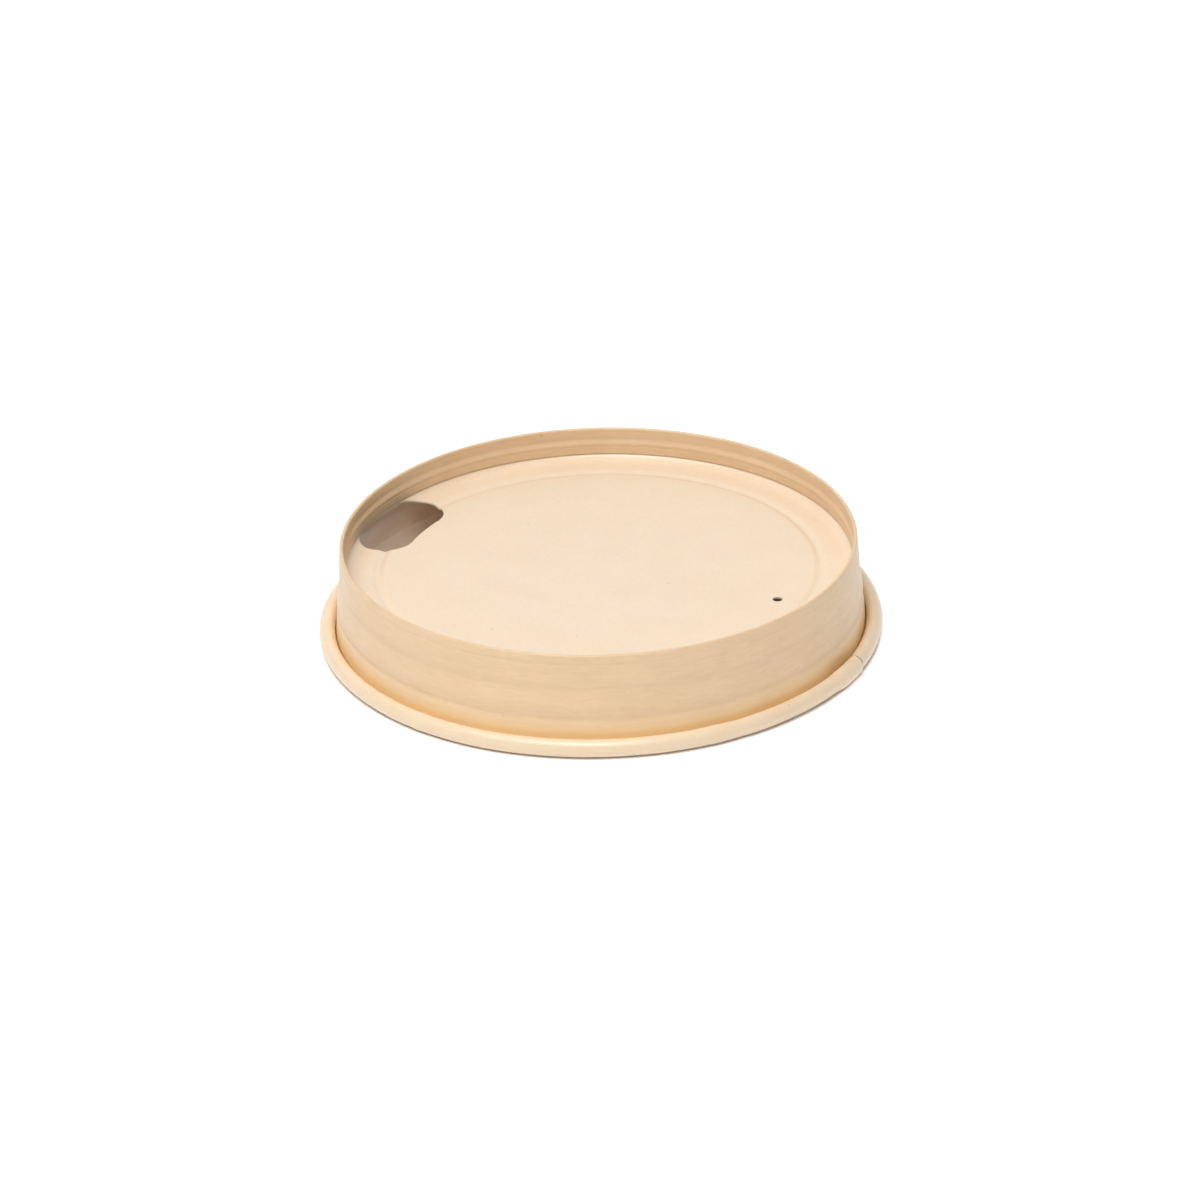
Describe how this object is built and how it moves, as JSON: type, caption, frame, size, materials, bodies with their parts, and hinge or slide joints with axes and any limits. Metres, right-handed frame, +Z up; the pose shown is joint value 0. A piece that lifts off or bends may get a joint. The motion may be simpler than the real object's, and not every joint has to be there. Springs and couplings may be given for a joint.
{
  "type": "coffee cup lid",
  "caption": "Shallow round paper lid for a takeaway coffee cup, with a recessed top panel, a sip hole, a vent hole and a rolled rim that snaps over the cup.",
  "frame": {"origin": "centre of the ring that the lid stands on, under the rolled rim", "axes": "+Z up along the lid's axis, -Y towards the sip hole, +X to the right when the sip hole faces the viewer"},
  "size_m": [0.0974, 0.0977, 0.0179],
  "materials": {
    "wall_paper": "satin",
    "panel_paper": "satin"
  },
  "bodies": {
    "root": {"side_wall": "wall_paper", "top_panel": "panel_paper"}
  },
  "joints": []
}
